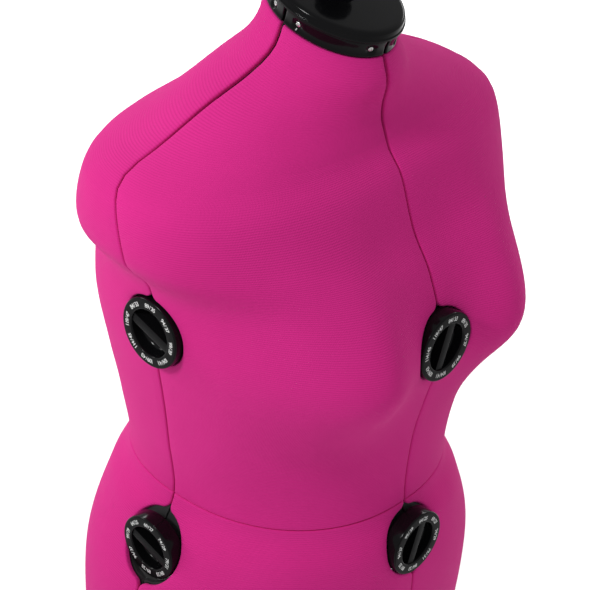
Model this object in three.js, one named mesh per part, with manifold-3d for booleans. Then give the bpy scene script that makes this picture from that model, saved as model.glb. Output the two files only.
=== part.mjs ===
// An adjustable dress form: a torso of eight quarter panels, four above the waist and four below, on a
// height-adjustable pole with four legs. Each vertical seam holds dials whose pinions work two racks, one
// moulded on each neighbouring panel, so that turning a dial spreads the panels and widens the torso.
// Millimetres, +Z up, front of the body towards -Y, the body's left side towards +X, floor at z = 0.

import * as THREE from "three";
import { mergeVertices } from "three/addons/utils/BufferGeometryUtils.js";
import Module from "manifold-3d";

const wasm = await Module();
wasm.setup();

// ---------------------------------------------------------------- driving dimensions

const WAIST_Z = 980; // height of the waist butt line with the pole right down

// Sections of the torso, as a tailor would measure them. Heights are above the waist.
// [height, half width, front depth, back depth, centre y, squareness of the section]
const STATIONS = [
  [-250, 172, 125, 132, 6, 2.2], // hem
  [-189, 177, 139, 149, 7, 2.2], // hip
  [-101, 171, 153, 148, 12, 2.2], // high hip
  [-38, 145, 152, 135, 13, 2.2], // upper hip
  [0, 127, 136, 124, 10, 2.2], // waist
  [59, 136, 133, 132, 6, 2.2], // ribs
  [108, 146, 134, 144, 1, 2.25], // under bust
  [162, 157, 136, 150, -2, 2.3], // bust
  [216, 163, 121, 145, -4, 2.3], // armpit
  [246, 184, 108, 133, -1, 2.4], // underside of the arm stump
  [285, 183, 97, 117, 1, 2.4], // arm stump
  [302, 166, 91, 97, 8, 2.3], // shoulder point
  [317, 132, 83, 80, 5, 2.1], // shoulder slope
  [336, 98, 73, 63, -2, 2.0], // inner shoulder
  [353, 70, 63, 53, -12, 2.0], // root of the neck
  [370, 53, 58, 53, -20, 2.0], // neck
  [387, 43, 53, 53, -20, 2.0], // foot of the collar
  [399.4, 43, 53, 53, -23.5, 2.0], // top of the collar
];
const HEM = 0;
const WAIST = 4;
const COLLAR = 16;
const COLLAR_TOP = 17;

const BUST = { rise: 38, apexX: 78, height: 162, inner: 38, outer: 65, above: 79, below: 59, bridge: 0.237 };
const NECK_LEAN = 0.28; // forward tilt of the neck ring, as rise over run
const NECK_LEAN_FROM = 305;
const NECK_LEAN_TO = 360;
const SEAM_BACK = THREE.MathUtils.degToRad(9); // how far the shoulder seam runs behind the neck's side
const SEAM_BACK_FROM = 250;

const SEAM_HALF_GAP = 0.8; // half of the gap between neighbouring panels
const WAIST_HALF_GAP = 1;
const COVER = { out: 0, in: 4 }; // foam-backed knit, as depths below the body's surface
const SHELL = { out: 4.6, in: 7.8 }; // moulded shell under the knit
const BAND = { out: 0.4, in: 7.8 }; // collar band segments
const LUG_LAYER = { out: 6.2, in: 38 }; // where the lugs of the racks may reach
const COLUMNS = 7;
const TIERS = {
  upper: { from: WAIST, to: COLLAR, rows: 12, dials: { bust: { centre: 162, side: 177 } } },
  lower: {
    from: HEM,
    to: WAIST,
    rows: 5,
    dials: { waist: { centre: -35, side: -45 }, hip: { centre: -190, side: -190 } },
  },
};

const DIAL = { radius: 28.5, face: 4.5, bevel: 1.4, back: -9, cup: 19.5, cupFloor: -6, cupFoot: 18 };
const GRIP = { length: 37.4, width: 8, top: 3.2, bottom: -6.4 };
const GRIP_TURN = { front: 72, left: 18, back: 72, right: -18 }; // degrees from level, seen from outside
const NOTCH_RADIUS = 30; // opening in cover and shell around a dial
const NOTCH_BACK = -11;
const NOTCH_FRONT = 60;
const PINION = { radius: 3.8, back: -24.5 };
const SHAFT_RADIUS = 2.8;
const SHAFT_BORE = 3.1;
const RACK = { near: 4.1, far: 9.1, out: -17, in: -23, tip: 24, root: 46, lug: 38 };

// Distance of each seam spine's outer face from the pole's axis.
const SPINE_FACE = { front: 104, left: 106, back: 112, right: 106 };
const SPINE = { width: 34, depth: 10, margin: 24 };
const ROD = { size: 12, end: 24 };
const SOCKET = { size: 22, bore: 12.8, from: 14, bottom: 21, mouth: 62 };

const HUBS = {
  upper: { height: 100, radius: 18, bore: 9.3, tall: 36 },
  lower: { height: -110, radius: 20, bore: 11.3, tall: 36 },
};
const POST = { radius: 9, from: -160, to: 388 };
const INNER_POLE = { radius: 11, bore: 9.4, bottom: 250, top: WAIST_Z - 60 };
const OUTER_POLE = { radius: 14, bore: 11.4, bottom: 30, top: 600 };
const CLAMP = { radius: 22, bottom: 566, top: 640, clearance: 0.3, screwZ: 620, screwBore: 4.2 };
const CLAMP_KNOB = { screw: 3.9, tip: 11.4, head: 30, lobeRadius: 17, lobes: 6, lobeDepth: 2.5, thick: 15 };

const CAP = { overhang: 1.6, rim: 3.4, shoulder: 7, flat: 0.8, crown: 8.5, seat: 0.5, wall: 3, skirt: 0 };
const KNOB = { flange: 15, flangeTall: 4, waist: 8, waistTall: 9, head: 14, tall: 24, gap: 0.4 };

const BASE = { half: 32, corner: 10, bottom: 22, top: 72, bore: 14.3 };
const LEG = { gap: 0.3, tip: 270, wide: 26, rootTop: 66, rootBottom: 26, tipTop: 30, tipBottom: 14.3 };
const FOOT = { radius: 15, tall: 14, reach: 250 };

const ROUND = 14; // sides of the small turned pieces
const WIDE_ROUND = 20; // sides of the poles and the clamp

const MATERIALS = {
  knit: new THREE.MeshStandardMaterial({ color: 0xd0248a, roughness: 0.85, metalness: 0 }),
  shell: new THREE.MeshStandardMaterial({ color: 0x161617, roughness: 0.5, metalness: 0 }),
  gloss: new THREE.MeshStandardMaterial({ color: 0x0c0c0d, roughness: 0.15, metalness: 0 }),
  nylon: new THREE.MeshStandardMaterial({ color: 0x1c1c1e, roughness: 0.5, metalness: 0 }),
  steel: new THREE.MeshStandardMaterial({ color: 0xb8bbc0, roughness: 0.3, metalness: 1 }),
  enamel: new THREE.MeshStandardMaterial({ color: 0x151516, roughness: 0.35, metalness: 0.4 }),
  rubber: new THREE.MeshStandardMaterial({ color: 0x202020, roughness: 0.9, metalness: 0 }),
};

// ---------------------------------------------------------------- joining and cutting

function solidOf(geometry) {
  const bare = geometry.index ? geometry.toNonIndexed() : geometry.clone();
  bare.deleteAttribute("normal");
  bare.deleteAttribute("uv");
  const merged = mergeVertices(bare, 1e-4);
  return new wasm.Manifold(
    new wasm.Mesh({
      numProp: 3,
      vertProperties: merged.attributes.position.array,
      triVerts: new Uint32Array(merged.index.array),
    }),
  );
}

function geometryOf(solid) {
  const { vertProperties, triVerts } = solid.getMesh();
  const geometry = new THREE.BufferGeometry();
  geometry.setAttribute("position", new THREE.BufferAttribute(vertProperties, 3));
  geometry.setIndex(new THREE.BufferAttribute(triVerts, 1));
  geometry.computeVertexNormals();
  return geometry;
}

function join(first, ...others) {
  return others.reduce((sum, geometry) => sum.add(solidOf(geometry)), solidOf(first));
}

const form = new THREE.Group();

function addMesh(name, geometry, material) {
  const mesh = new THREE.Mesh(geometry, material.clone());
  mesh.name = name;
  form.add(mesh);
  return mesh;
}

// A box from its low corner to its high corner.
function block(low, high) {
  const size = high.map((value, axis) => value - low[axis]);
  const middle = high.map((value, axis) => (value + low[axis]) / 2);
  return new THREE.BoxGeometry(...size).translate(...middle);
}

// A turned piece about Z, from [radius, z] points.
function turned(points, sides) {
  const profile = points.map(([radius, z]) => new THREE.Vector2(radius, z));
  return new THREE.LatheGeometry(profile, sides).rotateX(Math.PI / 2);
}

// ---------------------------------------------------------------- the body's surface

function stationAt(t) {
  const last = STATIONS.length - 1;
  const index = Math.min(Math.max(Math.floor(t), 0), last - 1);
  const u = t - index;
  const tangent = (i, k) => {
    const low = Math.max(i - 1, 0);
    const high = Math.min(i + 1, last);
    return (STATIONS[high][k] - STATIONS[low][k]) / (high - low);
  };
  return STATIONS[0].map((_, k) => {
    const start = STATIONS[index][k] * (2 * u ** 3 - 3 * u ** 2 + 1);
    const end = STATIONS[index + 1][k] * (3 * u ** 2 - 2 * u ** 3);
    const startSlope = tangent(index, k) * (u ** 3 - 2 * u ** 2 + u);
    const endSlope = tangent(index + 1, k) * (u ** 3 - u ** 2);
    return start + end + startSlope + endSlope;
  });
}

// The station parameter at a height above the waist, by bisection.
function stationOf(height) {
  let low = 0;
  let high = STATIONS.length - 1;
  while (high - low > 1e-5) {
    const middle = (low + high) / 2;
    if (stationAt(middle)[0] < height) low = middle;
    else high = middle;
  }
  return low;
}

function bustRise(x, height, facing) {
  const across = Math.abs(x) - BUST.apexX;
  const spread = Math.exp(-((across / (across < 0 ? BUST.inner : BUST.outer)) ** 2));
  const bridged = across < 0 ? BUST.bridge + (1 - BUST.bridge) * spread : spread;
  const up = height - BUST.height;
  const fade = Math.exp(-((up / (up > 0 ? BUST.above : BUST.below)) ** 2));
  return BUST.rise * bridged * fade * THREE.MathUtils.clamp(facing * 3, 0, 1);
}

// A point of the left half of the body: q is 0 on the centre front seam, 1 on the side seam and 2 on the
// centre back seam.
function bodyPoint(t, q) {
  const [height, half, front, back, centreY, squareness] = stationAt(t);
  const lean = NECK_LEAN * THREE.MathUtils.smoothstep(height, NECK_LEAN_FROM, NECK_LEAN_TO);
  const seam = Math.PI / 2 + SEAM_BACK * THREE.MathUtils.smoothstep(height, SEAM_BACK_FROM, NECK_LEAN_TO);
  const phi = q < 1 ? q * seam : seam + (q - 1) * (Math.PI - seam);
  const power = 2 / squareness;
  const facing = Math.cos(phi);
  const x = half * Math.abs(Math.sin(phi)) ** power;
  const flatY = (facing > 0 ? -front : back) * Math.abs(facing) ** power;
  const y = flatY - bustRise(x, height, facing);
  return new THREE.Vector3(x, centreY + y, WAIST_Z + height + lean * y);
}

function bodyNormal(t, q) {
  const step = 0.02;
  const last = STATIONS.length - 1;
  const around = bodyPoint(t, Math.min(q + step, 2)).sub(bodyPoint(t, Math.max(q - step, 0)));
  const up = bodyPoint(Math.min(t + step, last), q).sub(bodyPoint(Math.max(t - step, 0), q));
  const normal = around.cross(up).normalize();
  if (q === 0 || q === 2) normal.setX(0).normalize();
  return normal;
}

// ---------------------------------------------------------------- quarter panels

const QUARTERS = {
  front_left: { side: 1, start: 0 },
  front_right: { side: -1, start: 0 },
  back_left: { side: 1, start: 1 },
  back_right: { side: -1, start: 1 },
};

// One layer of a quarter, as rows of points at a depth below the surface. The edges are trimmed to the
// planes of the seams, the waist and the hem, and the top row to the tilted plane of the neck ring.
function quarterLayer({ start }, { from, to, rows }, depth) {
  const layer = [];
  for (let i = 0; i <= rows; i += 1) {
    const t = from + ((to - from) * i) / rows;
    const [height, , , , centreY] = stationAt(t);
    const seamY = bodyPoint(t, 1).y;
    const row = [];
    for (let j = 0; j <= COLUMNS; j += 1) {
      const q = start + j / COLUMNS;
      const point = bodyPoint(t, q).addScaledVector(bodyNormal(t, q), -depth);
      if (q === 0 || q === 2) point.x = SEAM_HALF_GAP;
      if (q === 1) point.y = seamY + (start === 0 ? -SEAM_HALF_GAP : SEAM_HALF_GAP);
      if (t === HEM) point.z = WAIST_Z + height;
      if (t === WAIST) point.z = WAIST_Z + (i === 0 ? WAIST_HALF_GAP : -WAIST_HALF_GAP);
      if (t >= COLLAR) point.z = WAIST_Z + height + NECK_LEAN * (point.y - centreY);
      row.push(point);
    }
    layer.push(row);
  }
  return layer;
}

function quarterSolid(quarter, span, { out, in: inner }) {
  const layers = [quarterLayer(quarter, span, out), quarterLayer(quarter, span, inner)];
  const stride = COLUMNS + 1;
  const layerSize = (span.rows + 1) * stride;
  const positions = layers.flat(2).flatMap(({ x, y, z }) => [x * quarter.side, y, z]);
  const faces = [];
  const face = (a, b, c) => faces.push(...(quarter.side > 0 ? [a, b, c] : [a, c, b]));
  const quad = (a, b, c, d) => {
    face(a, b, c);
    face(a, c, d);
  };
  for (let i = 0; i < span.rows; i += 1) {
    for (let j = 0; j < COLUMNS; j += 1) {
      const a = i * stride + j;
      const [b, c, d] = [a + 1, a + 1 + stride, a + stride];
      quad(a, b, c, d);
      quad(c + layerSize, b + layerSize, a + layerSize, d + layerSize);
    }
  }
  const rim = [];
  for (let j = 0; j < COLUMNS; j += 1) rim.push(j);
  for (let i = 0; i < span.rows; i += 1) rim.push(i * stride + COLUMNS);
  for (let j = COLUMNS; j > 0; j -= 1) rim.push(span.rows * stride + j);
  for (let i = span.rows; i > 0; i -= 1) rim.push(i * stride);
  rim.forEach((here, k) => {
    const next = rim[(k + 1) % rim.length];
    quad(next, here, here + layerSize, next + layerSize);
  });
  const geometry = new THREE.BufferGeometry();
  geometry.setAttribute("position", new THREE.Float32BufferAttribute(positions, 3));
  geometry.setIndex(faces);
  return solidOf(geometry);
}

// ---------------------------------------------------------------- seams and dials

// Each seam, seen from outside: where its outward and rightward directions point, and which quarter is on
// its right-hand and left-hand side.
const SEAMS = {
  front: { out: [0, -1, 0], right: [1, 0, 0], q: 0, side: 1, hands: ["front_left", "front_right"] },
  left: { out: [1, 0, 0], right: [0, 1, 0], q: 1, side: 1, hands: ["back_left", "front_left"] },
  back: { out: [0, 1, 0], right: [-1, 0, 0], q: 2, side: 1, hands: ["back_right", "back_left"] },
  right: { out: [-1, 0, 0], right: [0, -1, 0], q: 1, side: -1, hands: ["front_right", "back_right"] },
};

const isCentre = (seamName) => SEAMS[seamName].q !== 1;

function seamPoint(seamName, height) {
  const { q, side } = SEAMS[seamName];
  const point = bodyPoint(stationOf(height), q);
  return new THREE.Vector3(q === 1 ? point.x * side : 0, point.y, WAIST_Z + height);
}

// A frame on a seam: x to the right, y up and z outwards.
function seamFrame(seamName, origin) {
  const { out, right } = SEAMS[seamName];
  const axes = [right, [0, 0, 1], out].map((axis) => new THREE.Vector3(...axis));
  return new THREE.Matrix4().makeBasis(...axes).setPosition(origin);
}

// Every dial: its name, its seam, and the frame at its centre.
const DIALS = Object.entries(TIERS).flatMap(([tierName, tier]) =>
  Object.entries(tier.dials).flatMap(([level, heights]) =>
    Object.keys(SEAMS).map((seamName) => {
      const height = isCentre(seamName) ? heights.centre : heights.side;
      const centre = seamPoint(seamName, height);
      const name = `${level}_dial_${seamName}`;
      return { name, tierName, seamName, height, centre, frame: seamFrame(seamName, centre) };
    }),
  ),
);

function notch({ frame }) {
  const points = [
    [0, NOTCH_BACK],
    [NOTCH_RADIUS, NOTCH_BACK],
    [NOTCH_RADIUS, NOTCH_FRONT],
    [0, NOTCH_FRONT],
  ];
  return turned(points, WIDE_ROUND).applyMatrix4(frame);
}

// The rack above the pinion belongs to the right-hand quarter and the one below it to the left-hand one.
function rackBar({ frame }, hand) {
  const low = [-RACK.tip, RACK.near, RACK.in];
  const high = [RACK.root, RACK.far, RACK.out];
  const bar = block(low, high);
  return (hand > 0 ? bar : bar.rotateZ(Math.PI)).applyMatrix4(frame);
}

// The lug that carries a rack: a block from the rack out to the shell, trimmed below the shell's face.
function rackLug({ frame }, hand, inside) {
  const rough = block([RACK.lug, RACK.near, RACK.in], [RACK.root, RACK.far, NOTCH_FRONT]);
  const placed = (hand > 0 ? rough : rough.rotateZ(Math.PI)).applyMatrix4(frame);
  return solidOf(placed).intersect(inside);
}

function addQuarter(tierName, quarterName) {
  const quarter = QUARTERS[quarterName];
  const tier = TIERS[tierName];
  let cover = quarterSolid(quarter, tier, COVER);
  let shell = quarterSolid(quarter, tier, SHELL);
  const inside = quarterSolid(quarter, tier, LUG_LAYER);
  for (const dial of DIALS) {
    const place = SEAMS[dial.seamName].hands.indexOf(quarterName);
    if (dial.tierName === tierName && place >= 0) {
      const hand = place === 0 ? 1 : -1;
      const hole = solidOf(notch(dial));
      cover = cover.subtract(hole);
      shell = shell.subtract(hole);
      shell = shell.add(rackLug(dial, hand, inside)).add(solidOf(rackBar(dial, hand)));
    }
  }
  addMesh(`${tierName}_${quarterName}_cover`, geometryOf(cover), MATERIALS.knit);
  addMesh(`${tierName}_${quarterName}_shell`, geometryOf(shell), MATERIALS.shell);
}

function addCollarBand(quarterName) {
  const span = { from: COLLAR, to: COLLAR_TOP, rows: 1 };
  const band = geometryOf(quarterSolid(QUARTERS[quarterName], span, BAND));
  addMesh(`collar_${quarterName}`, band.translate(0, 0, CAP.seat), MATERIALS.gloss);
}

function addDial(dial) {
  const { seamName, centre, frame } = dial;
  const reach = Math.abs(isCentre(seamName) ? centre.y : centre.x);
  const shaftEnd = SPINE_FACE[seamName] - SPINE.depth + 1 - reach;
  const points = [
    [0, shaftEnd],
    [SHAFT_RADIUS, shaftEnd],
    [SHAFT_RADIUS, PINION.back],
    [PINION.radius, PINION.back],
    [PINION.radius, DIAL.back],
    [DIAL.radius, DIAL.back],
    [DIAL.radius, DIAL.face - DIAL.bevel],
    [DIAL.radius - DIAL.bevel, DIAL.face],
    [DIAL.cup, DIAL.face],
    [DIAL.cupFoot, DIAL.cupFloor],
    [0, DIAL.cupFloor],
  ];
  const halfGrip = [GRIP.length / 2, GRIP.width / 2];
  const grip = block([-halfGrip[0], -halfGrip[1], GRIP.bottom], [halfGrip[0], halfGrip[1], GRIP.top]);
  grip.rotateZ(THREE.MathUtils.degToRad(GRIP_TURN[seamName]));
  const geometry = geometryOf(join(turned(points, ROUND), grip));
  addMesh(dial.name, geometry.applyMatrix4(frame), MATERIALS.gloss);
}

// ---------------------------------------------------------------- the inner frame

// The bar behind a seam that the dial shafts run in, with the square rod that slides in a hub's socket.
function addSpine(tierName, seamName) {
  const dials = DIALS.filter((dial) => dial.tierName === tierName && dial.seamName === seamName);
  const hub = HUBS[tierName];
  const face = SPINE_FACE[seamName];
  const heights = dials.map(({ height }) => height);
  const low = Math.min(...heights, hub.height) - SPINE.margin;
  const high = Math.max(...heights, hub.height) + SPINE.margin;
  const frame = seamFrame(seamName, new THREE.Vector3(0, 0, WAIST_Z));
  const toSeam = frame.clone().invert();
  const holes = dials.map(({ centre }) => centre.clone().applyMatrix4(toSeam));
  const middle = holes.reduce((sum, { x }) => sum + x, 0) / holes.length;
  const left = middle - SPINE.width / 2;
  const bar = block([left, low, face - SPINE.depth], [left + SPINE.width, high, face]);
  const half = ROD.size / 2;
  const rod = block([-half, hub.height - half, ROD.end], [half, hub.height + half, face - SPINE.depth / 2]);
  let spine = join(bar, rod);
  for (const { x, y } of holes) {
    const bore = turned(
      [
        [0, face - SPINE.depth - 5],
        [SHAFT_BORE, face - SPINE.depth - 5],
        [SHAFT_BORE, face + 5],
        [0, face + 5],
      ],
      ROUND,
    );
    spine = spine.subtract(solidOf(bore.translate(x, y, 0)));
  }
  addMesh(`${tierName}_${seamName}_spine`, geometryOf(spine).applyMatrix4(frame), MATERIALS.nylon);
}

// A boss on the pole with a square socket towards each seam.
function addHub(tierName) {
  const { height, radius, bore, tall } = HUBS[tierName];
  const half = tall / 2;
  const boss = turned(
    [
      [0, -half],
      [radius, -half],
      [radius, half],
      [0, half],
    ],
    WIDE_ROUND,
  );
  const arm = SOCKET.size / 2;
  const hole = SOCKET.bore / 2;
  const quarterTurns = [0, 1, 2, 3].map((k) => (k * Math.PI) / 2);
  const arms = quarterTurns.map((angle) =>
    block([SOCKET.from, -arm, -arm], [SOCKET.mouth, arm, arm]).rotateZ(angle),
  );
  const sockets = quarterTurns.map((angle) =>
    block([SOCKET.bottom, -hole, -hole], [SOCKET.mouth + 5, hole, hole]).rotateZ(angle),
  );
  const poleHole = turned(
    [
      [0, -half - 5],
      [bore, -half - 5],
      [bore, half + 5],
      [0, half + 5],
    ],
    WIDE_ROUND,
  );
  let hub = join(boss, ...arms);
  for (const cut of [...sockets, poleHole]) hub = hub.subtract(solidOf(cut));
  addMesh(`${tierName}_hub`, geometryOf(hub), MATERIALS.nylon).position.z = WAIST_Z + height;
}

function tube({ radius, bore, bottom, top }) {
  const points = [
    [bore, bottom],
    [radius, bottom],
    [radius, top],
    [bore, top],
    [bore, bottom],
  ];
  return turned(points, WIDE_ROUND);
}

function addPoles() {
  addMesh("inner_pole", tube(INNER_POLE), MATERIALS.steel);
  addMesh("outer_pole", tube(OUTER_POLE), MATERIALS.enamel);
  // The post's collar rests just above the end of the inner pole.
  const stop = INNER_POLE.top - WAIST_Z + 0.4;
  const points = [
    [0, POST.from],
    [POST.radius, POST.from],
    [POST.radius, stop],
    [INNER_POLE.radius, stop],
    [INNER_POLE.radius, stop + 8],
    [POST.radius, stop + 8],
    [POST.radius, POST.to],
    [0, POST.to],
  ];
  addMesh("upper_post", turned(points, WIDE_ROUND), MATERIALS.steel).position.z = WAIST_Z;
}

// ---------------------------------------------------------------- neck cap and knob

function addNeckCap() {
  const tilt = Math.atan(NECK_LEAN);
  const [height, half, front, , centreY] = STATIONS[COLLAR_TOP];
  const long = front / Math.cos(tilt);
  const neck = new THREE.Group();
  neck.position.set(0, centreY, WAIST_Z + height + 2 * CAP.seat);
  neck.rotation.x = tilt;
  form.add(neck);
  const rim = long + CAP.overhang;
  const profile = [
    [0, 0],
    [rim, 0],
    [rim, CAP.rim],
    [rim - 1.5, CAP.rim + 1],
    [rim - 4, CAP.shoulder - 0.8],
    [rim - 9, CAP.shoulder],
    [rim * 0.4, CAP.crown],
    [0, CAP.crown],
  ];
  const cap = addMesh("neck_cap", turned(profile, WIDE_ROUND), MATERIALS.gloss);
  cap.scale.x = (half + CAP.overhang) / rim;
  const base = CAP.crown + KNOB.gap;
  const knobProfile = [
    [0, base],
    [KNOB.flange, base],
    [KNOB.flange - 1, base + KNOB.flangeTall],
    [KNOB.waist, base + KNOB.flangeTall + 2],
    [KNOB.waist, base + KNOB.waistTall],
    [KNOB.head, base + KNOB.waistTall + 3],
    [KNOB.head, base + KNOB.tall - 3],
    [KNOB.head - 3, base + KNOB.tall],
    [0, base + KNOB.tall],
  ];
  const knob = addMesh("neck_knob", turned(knobProfile, WIDE_ROUND), MATERIALS.gloss);
  neck.add(cap, knob);
}

// ---------------------------------------------------------------- height clamp and stand

function addClamp() {
  const { radius, bottom, top, clearance, screwZ, screwBore } = CLAMP;
  const grip = OUTER_POLE.radius + clearance;
  const slide = INNER_POLE.radius + clearance;
  const seat = OUTER_POLE.top + clearance;
  const ring = turned(
    [
      [grip, bottom],
      [radius, bottom],
      [radius, top],
      [slide, top],
      [slide, seat],
      [grip, seat],
      [grip, bottom],
    ],
    WIDE_ROUND,
  );
  const towardsFront = new THREE.Matrix4().makeRotationX(Math.PI / 2).setPosition(0, 0, screwZ);
  const bore = turned(
    [
      [0, 5],
      [screwBore, 5],
      [screwBore, radius + 5],
      [0, radius + 5],
    ],
    ROUND,
  ).applyMatrix4(towardsFront);
  addMesh("height_clamp", geometryOf(solidOf(ring).subtract(solidOf(bore))), MATERIALS.nylon);

  const { screw, tip, head, lobeRadius, lobes, lobeDepth, thick } = CLAMP_KNOB;
  const outline = new THREE.Shape();
  const steps = lobes * 6;
  for (let k = 0; k < steps; k += 1) {
    const angle = (k * 2 * Math.PI) / steps;
    const reach = lobeRadius - lobeDepth * (0.5 - 0.5 * Math.cos(lobes * angle));
    const corner = [reach * Math.cos(angle), reach * Math.sin(angle)];
    if (k === 0) outline.moveTo(...corner);
    else outline.lineTo(...corner);
  }
  const handle = new THREE.ExtrudeGeometry(outline, { depth: thick, bevelEnabled: false });
  const shank = turned(
    [
      [0, tip],
      [screw, tip],
      [screw, head + 2],
      [0, head + 2],
    ],
    ROUND,
  );
  const knob = geometryOf(join(handle.translate(0, 0, head), shank)).applyMatrix4(towardsFront);
  addMesh("clamp_knob", knob, MATERIALS.nylon);
}

function addStand() {
  const { half, corner, bottom, top, bore } = BASE;
  const outline = new THREE.Shape();
  outline.moveTo(half, -half + corner);
  for (let k = 0; k < 4; k += 1) {
    const turn = (k * Math.PI) / 2;
    const at = new THREE.Vector2(half, half - corner).rotateAround(new THREE.Vector2(), turn);
    const next = new THREE.Vector2(half - corner, half).rotateAround(new THREE.Vector2(), turn);
    outline.lineTo(at.x, at.y);
    outline.lineTo(next.x, next.y);
  }
  const hole = new THREE.Path().absarc(0, 0, bore, 0, 2 * Math.PI, true);
  outline.holes.push(hole);
  const settings = { depth: top - bottom, bevelEnabled: false, curveSegments: 12 };
  const hub = new THREE.ExtrudeGeometry(outline, settings).translate(0, 0, bottom);
  addMesh("base_hub", hub, MATERIALS.nylon);
  Object.keys(SEAMS).forEach((name) => addLeg(name));
}

// A leg's side view is drawn outwards along its seam's direction, with a sagging upper edge.
function addLeg(name) {
  const start = BASE.half + LEG.gap;
  const outline = new THREE.Shape();
  outline.moveTo(start, LEG.rootBottom);
  outline.quadraticCurveTo(LEG.tip * 0.5, LEG.tipBottom, LEG.tip - 40, LEG.tipBottom);
  outline.lineTo(LEG.tip, LEG.tipBottom);
  outline.lineTo(LEG.tip - 3, LEG.tipTop);
  outline.quadraticCurveTo(LEG.tip * 0.4, LEG.tipTop + 6, start, LEG.rootTop);
  const settings = { depth: LEG.wide, bevelEnabled: false, curveSegments: 6 };
  const leg = new THREE.ExtrudeGeometry(outline, settings).translate(0, 0, -LEG.wide / 2);
  const [outX, outY] = SEAMS[name].out;
  const facing = Math.atan2(outY, outX);
  const mesh = addMesh(`${name}_leg`, leg.rotateX(Math.PI / 2), MATERIALS.nylon);
  mesh.rotation.z = facing;
  const foot = turned(
    [
      [0, 0],
      [FOOT.radius, 0],
      [FOOT.radius, FOOT.tall],
      [0, FOOT.tall],
    ],
    ROUND,
  );
  const pad = addMesh(`${name}_foot`, foot, MATERIALS.rubber);
  pad.position.set(FOOT.reach * outX, FOOT.reach * outY, 0);
}

// ---------------------------------------------------------------- the whole form

for (const quarterName of Object.keys(QUARTERS)) {
  Object.keys(TIERS).forEach((tierName) => addQuarter(tierName, quarterName));
  addCollarBand(quarterName);
}
DIALS.forEach(addDial);
for (const tierName of Object.keys(TIERS)) {
  Object.keys(SEAMS).forEach((seamName) => addSpine(tierName, seamName));
  addHub(tierName);
}
addPoles();
addNeckCap();
addClamp();
addStand();

export default form;
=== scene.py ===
"""The looks of an adjustable dress form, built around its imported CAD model.

Shapes are worked out in millimetres, with +Z up, the front of the body towards -Y, the body's left
side towards +X and the floor at z = 0, and turned into metres when a mesh is made.
"""

import math

import bmesh
import bpy
from mathutils import Matrix, Vector


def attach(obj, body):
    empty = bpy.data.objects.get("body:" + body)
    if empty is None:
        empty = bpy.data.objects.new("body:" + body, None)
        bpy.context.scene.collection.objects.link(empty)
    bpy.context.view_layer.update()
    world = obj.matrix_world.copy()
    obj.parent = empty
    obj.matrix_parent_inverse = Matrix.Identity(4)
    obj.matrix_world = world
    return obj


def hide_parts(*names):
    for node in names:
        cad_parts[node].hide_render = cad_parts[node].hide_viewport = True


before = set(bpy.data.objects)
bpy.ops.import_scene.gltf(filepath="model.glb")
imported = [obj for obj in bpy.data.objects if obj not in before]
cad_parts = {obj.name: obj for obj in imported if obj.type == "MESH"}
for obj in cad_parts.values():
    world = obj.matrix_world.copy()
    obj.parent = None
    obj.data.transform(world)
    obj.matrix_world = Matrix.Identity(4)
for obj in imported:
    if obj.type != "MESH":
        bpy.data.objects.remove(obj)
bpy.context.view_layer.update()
MM = 0.001

# ------------------------------------------------------------------ the design's own sizes

WAIST_Z = 980

# Sections of the torso, with heights above the waist:
# [height, half width, front depth, back depth, centre y, squareness of the section]
STATIONS = [
    [-250, 172, 125, 132, 6, 2.2],
    [-189, 177, 139, 149, 7, 2.2],
    [-101, 171, 153, 148, 12, 2.2],
    [-38, 145, 152, 135, 13, 2.2],
    [0, 127, 136, 124, 10, 2.2],
    [59, 136, 133, 132, 6, 2.2],
    [108, 146, 134, 144, 1, 2.25],
    [162, 157, 136, 150, -2, 2.3],
    [216, 163, 121, 145, -4, 2.3],
    [246, 184, 108, 133, -1, 2.4],
    [285, 183, 97, 117, 1, 2.4],
    [302, 166, 91, 97, 8, 2.3],
    [317, 132, 83, 80, 5, 2.1],
    [336, 98, 73, 63, -2, 2.0],
    [353, 70, 63, 53, -12, 2.0],
    [370, 53, 58, 53, -20, 2.0],
    [387, 43, 53, 53, -20, 2.0],
    [399.4, 43, 53, 53, -23.5, 2.0],
]
HEM_HEIGHT, COLLAR_HEIGHT, COLLAR_TOP_HEIGHT = -250, 387, 399.4
BUST_RISE, BUST_APEX_X, BUST_HEIGHT = 38, 78, 162
BUST_INNER, BUST_OUTER, BUST_ABOVE, BUST_BELOW, BUST_BRIDGE = 38, 65, 79, 59, 0.237
NECK_LEAN, NECK_LEAN_FROM, NECK_LEAN_TO = 0.28, 305, 360
SEAM_BACK, SEAM_BACK_FROM = math.radians(9), 250
SEAM_GAP_FROM, SEAM_GAP_TO = 290, 350  # the seams widen between these heights, towards the neck

TIERS = {
    "upper": {"span": (0, COLLAR_HEIGHT), "dials": {"bust": {"centre": 162, "side": 177}}},
    "lower": {
        "span": (HEM_HEIGHT, 0),
        "dials": {"waist": {"centre": -35, "side": -45}, "hip": {"centre": -190, "side": -190}},
    },
}
QUARTERS = {
    "front_left": {"side": 1, "start": 0, "seams": ("front", "left")},
    "front_right": {"side": -1, "start": 0, "seams": ("front", "right")},
    "back_left": {"side": 1, "start": 1, "seams": ("left", "back")},
    "back_right": {"side": -1, "start": 1, "seams": ("right", "back")},
}
SEAMS = {
    "front": {"out": (0, -1, 0), "right": (1, 0, 0), "q": 0, "side": 1},
    "left": {"out": (1, 0, 0), "right": (0, 1, 0), "q": 1, "side": 1},
    "back": {"out": (0, 1, 0), "right": (-1, 0, 0), "q": 2, "side": 1},
    "right": {"out": (-1, 0, 0), "right": (0, -1, 0), "q": 1, "side": -1},
}
SPINE_FACE = {"front": 104, "left": 106, "back": 112, "right": 106}
SPINE_DEPTH = 10

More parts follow.
